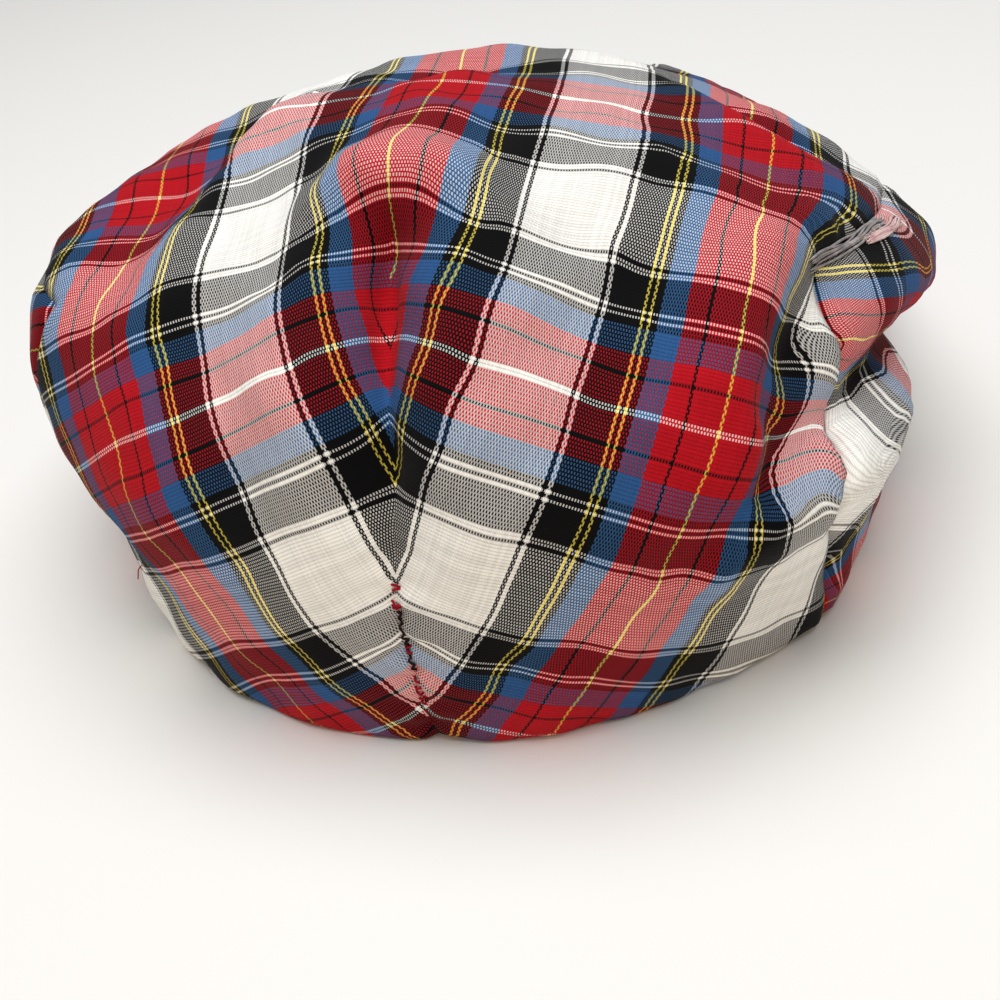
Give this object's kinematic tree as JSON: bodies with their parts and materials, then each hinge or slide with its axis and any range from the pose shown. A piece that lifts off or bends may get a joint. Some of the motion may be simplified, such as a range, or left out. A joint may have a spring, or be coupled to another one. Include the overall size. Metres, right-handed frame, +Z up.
{
  "type": "flat cap",
  "caption": "Soft flat cap of tartan cloth: one crown panel gathered by a dart at the centre back, a side panel over each ear and a short cloth-covered peak.",
  "frame": {"origin": "centre of the footprint, on the plane that the hem rests on", "axes": "+Z up, -Y towards the peak, +X towards the wearer's left"},
  "size_m": [0.1808, 0.2528, 0.0929],
  "materials": {
    "crown_cloth": "light plain-weave tartan of red, white, blue, black and yellow",
    "side_cloth": "the same tartan, cut a quarter turn round",
    "peak_cloth": "the same tartan over a stiff board"
  },
  "bodies": {
    "root": {"crown": "crown_cloth", "side_panel_left": "side_cloth", "side_panel_right": "side_cloth", "peak": "peak_cloth"}
  },
  "joints": []
}
